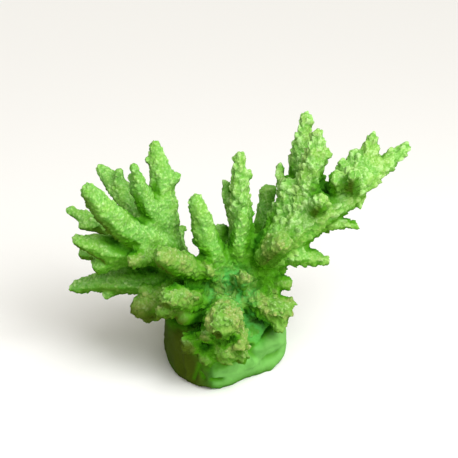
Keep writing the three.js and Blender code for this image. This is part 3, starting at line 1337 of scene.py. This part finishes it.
@dataclass
class Colony:
    """The whole coral as the pieces that it would come apart into, one to a node.

    Attributes:
        body: The smooth body.
        cups: The cups that grow on it.
        finish: What it is made of.
        cap_steps: For each ring of a sunk cap, how far it draws in as a share of its
            radius, and how far it sinks in mm.
        seam_angle: The piece's map is cut where its faces turn by more, in radians.
        map_margin: Space between the parts of the map, as a share of its width.
    """

    body: Body
    cups: CupField
    finish: DyedCoral = DyedCoral()
    cap_steps: tuple[tuple[float, float], ...] = ((0.3, 0.9), (0.75, 0.5))
    seam_angle: float = 1.15
    map_margin: float = 0.004

    def build(self) -> list[bpy.types.Object]:
        """Cuts the skin into its pieces, closes them and raises the cups.

        Returns:
            The finished pieces.
        """
        mesh = self.body.mesh
        self.store(mesh)
        whole = bpy.data.objects.new("whole", mesh)
        bpy.context.scene.collection.objects.link(whole)
        for name in self.body.names:
            mesh.materials.append(bpy.data.materials.new(f"part_{name}"))
        mesh.polygons.foreach_set("material_index", self.body.face_nodes)
        with editing(whole):
            bpy.ops.mesh.separate(type="MATERIAL")
        material = self.finish.make()
        pieces = []
        for piece in list(bpy.context.selected_objects):
            node = piece.data.materials[0].name.removeprefix("part_")
            piece.name = f"{node}_skin"
            piece.data.name = piece.name
            piece.data.materials.clear()
            piece.data.materials.append(material)
            self.close(piece)
            self.unwrap(piece)
            self.raise_cups(piece)
            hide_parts(node)
            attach(piece, "root")
            LOG.info("%s: %d faces", piece.name, len(piece.data.polygons))
            pieces.append(piece)
        return pieces

    def store(self, mesh: bpy.types.Mesh) -> None:
        """Keeps the cups' rise and the readings for the colours as attributes.

        Args:
            mesh: The whole skin.
        """
        rise = mesh.attributes.new("rise", "FLOAT_VECTOR", "POINT")
        rise.data.foreach_set("vector", (self.cups.rise * MM).ravel())
        for name in READINGS:
            values = mesh.attributes.new(name, "FLOAT", "POINT")
            values.data.foreach_set("value", getattr(self.cups, name))

    def close(self, piece: bpy.types.Object) -> None:
        """Closes a piece's open forks with sunk caps.

        Args:
            piece: One node's share of the skin.
        """
        shape = bmesh.new()
        shape.from_mesh(piece.data)
        open_edges = [edge for edge in shape.edges if edge.is_boundary]
        for edge in open_edges:
            edge.smooth = False
        for ring in self.rings(open_edges):
            verts = dict.fromkeys(vert for edge in ring for vert in edge.verts)
            middle = sum((vert.co for vert in verts), Vector()) / len(verts)
            inward = -sum((vert.normal for vert in verts), Vector()).normalized()
            for share, depth in self.cap_steps:
                made = bmesh.ops.extrude_edge_only(shape, edges=ring)["geom"]
                ring = [item for item in made if isinstance(item, bmesh.types.BMEdge)]
                for vert in {vert for edge in ring for vert in edge.verts}:
                    vert.co += (middle - vert.co) * share + inward * depth * MM
                middle += inward * depth * MM
            bmesh.ops.holes_fill(shape, edges=ring, sides=0)
        bmesh.ops.triangulate(shape, faces=[f for f in shape.faces if len(f.verts) > 4])
        bmesh.ops.recalc_face_normals(shape, faces=shape.faces)
        for face in shape.faces:
            face.smooth = True
        shape.to_mesh(piece.data)
        shape.free()

    def unwrap(self, piece: bpy.types.Object) -> None:
        """Lays out the piece while it is still smooth, so that its map has few seams.

        Args:
            piece: A closed piece whose cups aren't raised yet.
        """
        piece.data.uv_layers.new(name="OFBake")
        with editing(piece):
            bpy.ops.mesh.select_all(action="SELECT")
            bpy.ops.uv.smart_project(
                angle_limit=self.seam_angle, island_margin=self.map_margin
            )

    @staticmethod
    def raise_cups(piece: bpy.types.Object) -> None:
        """Moves the piece's vertices by their rise.

        Args:
            piece: A closed piece.
        """
        places = read_column(piece.data.vertices, "co", 3)
        rise = read_column(piece.data.attributes["rise"].data, "vector", 3)
        piece.data.vertices.foreach_set("co", (places + rise).ravel())
        piece.data.update()

    @staticmethod
    def rings(edges: list[bmesh.types.BMEdge]) -> list[list[bmesh.types.BMEdge]]:
        """Sorts open edges into connected rings, the same way every time.

        Args:
            edges: Every open edge of a piece.

        Returns:
            One list of edges to a ring.
        """
        waiting, groups = dict.fromkeys(edges), []
        while waiting:
            first, _ = waiting.popitem()
            group, front = [first], [first]
            while front:
                edge = front.pop()
                for vert in edge.verts:
                    for other in vert.link_edges:
                        if other in waiting:
                            del waiting[other]
                            group.append(other)
                            front.append(other)
            groups.append(group)
        return groups


@dataclass(frozen=True)
class StudioPaper:
    """Matt white seamless paper, evenly pale with hardly any sheen."""

    colour: str = "#f4f4f4"
    roughness: float = 0.95
    gloss: float = 0.1

    def make(self, name: str = "seamless_paper") -> bpy.types.Material:
        """Builds the material.

        Args:
            name: The material's name.

        Returns:
            The material.
        """
        material = bpy.data.materials.new(name)
        material.use_nodes = True
        shader = material.node_tree.nodes["Principled BSDF"]
        shader.inputs["Base Color"].default_value = linear(self.colour)
        shader.inputs["Roughness"].default_value = self.roughness
        shader.inputs["Specular IOR Level"].default_value = self.gloss
        return material


@dataclass
class Studio:
    """The floor, the lamps and the camera.

    Attributes:
        target: What the camera looks at, in metres.
        distance: From the camera to the target, in metres.
        elevation: The camera's angle above the horizon in degrees.
        lens: Its focal length in mm.
        sensor: Its sensor's width in mm.
        floor_size: Half the floor's width in metres.
        key_from: The way from the coral to the broad, distant main lamp.
        key_power: The main lamp's strength.
        key_angle: How broad it looks, in degrees.
        panel_place: Where the square soft panel hangs, in metres.
        panel_size: Its width in metres.
        panel_power: Its power in watts.
        room: The colour of the light from the room.
        room_power: The strength of that light.
        paper: What the floor is made of.
    """

    target: tuple[float, float, float] = (0.002, 0.0, 0.0756)
    distance: float = 0.65
    elevation: float = 25.0
    lens: float = 102.2
    sensor: float = 36.0
    floor_size: float = 8.0
    key_from: tuple[float, float, float] = (0.34, -0.62, 1.0)
    key_power: float = 2.3
    key_angle: float = 65.0
    panel_place: tuple[float, float, float] = (0.17, -0.24, 0.37)
    panel_size: float = 0.2
    panel_power: float = 1.25
    room: str = "#fff8e6"
    room_power: float = 0.38
    paper: StudioPaper = StudioPaper()

    def build(self) -> None:
        """Lays the floor and sets up the lamps and the camera."""
        self.lay_floor()
        self.hang_lamps()
        self.set_camera()
        world = bpy.data.worlds.new("studio")
        world.use_nodes = True
        sky = world.node_tree.nodes["Background"]
        sky.inputs["Color"].default_value = linear(self.room)
        sky.inputs["Strength"].default_value = self.room_power
        bpy.context.scene.world = world
        bpy.context.scene.view_settings.view_transform = "Standard"

    def lay_floor(self) -> None:
        """Lays the sheet of paper that the coral stands on."""
        shape = bmesh.new()
        bmesh.ops.create_grid(shape, x_segments=1, y_segments=1, size=self.floor_size)
        mesh = bpy.data.meshes.new("floor")
        shape.to_mesh(mesh)
        shape.free()
        mesh.materials.append(self.paper.make())
        floor = bpy.data.objects.new("floor", mesh)
        bpy.context.scene.collection.objects.link(floor)

    @staticmethod
    def put_up(
        name: str, item: bpy.types.ID, place: Vector, back: Vector
    ) -> bpy.types.Object:
        """Puts up a lamp or the camera.

        Args:
            name: Its name.
            item: The lamp's or camera's data.
            place: Where it stands, in metres.
            back: The way from what it faces back to it.

        Returns:
            Its object.
        """
        holder = bpy.data.objects.new(name, item)
        holder.location = place
        holder.rotation_mode = "QUATERNION"
        holder.rotation_quaternion = back.to_track_quat("Z", "Y")
        bpy.context.scene.collection.objects.link(holder)
        return holder

    def hang_lamps(self) -> None:
        """Hangs the broad main lamp and the soft panel."""
        key = bpy.data.lights.new("key", "SUN")
        key.energy = self.key_power
        key.angle = math.radians(self.key_angle)
        self.put_up("key", key, Vector(), Vector(self.key_from))
        panel = bpy.data.lights.new("overhead", "AREA")
        panel.energy = self.panel_power
        panel.size = self.panel_size
        place = Vector(self.panel_place)
        self.put_up("overhead", panel, place, place - Vector(self.target))

    def set_camera(self) -> None:
        """Puts the camera in front of the coral, a little above it."""
        angle = math.radians(self.elevation)
        back = Vector((0, -math.cos(angle), math.sin(angle)))
        lens = bpy.data.cameras.new("camera")
        lens.sensor_width = self.sensor
        lens.lens = self.lens
        lens.clip_start, lens.clip_end = 0.01, 50  # metres
        place = Vector(self.target) + back * self.distance
        bpy.context.scene.camera = self.put_up("camera", lens, place, back)


def main() -> None:
    """Builds the coral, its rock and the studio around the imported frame."""
    logging.basicConfig(level=logging.INFO, format="%(name)s: %(message)s")
    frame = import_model()
    nodes = frame["nodes"]
    LOG.info("frame: %d nodes", len(nodes))
    body = Body()
    body.build(nodes)
    LOG.info("body: %d faces", len(body.faces))
    cups = CupField()
    heart = Vector((0, 0, 45)) * MM
    cups.grow(body, RockSurface(), body.tips(nodes, heart))
    # pocket: how hidden each place is, plus the crease reading; the colours paint shade
    # by it
    cups.pocket = PocketProbe().measure(body) + cups.crease
    LOG.info("pockets: %.2f at most", cups.pocket.max())
    pieces = Colony(body, cups).build()
    LOG.info("colony: %d pieces", len(pieces))
    Studio().build()
    LOG.info("studio: floor, lamps and camera")


if __name__ == "__main__":
    main()
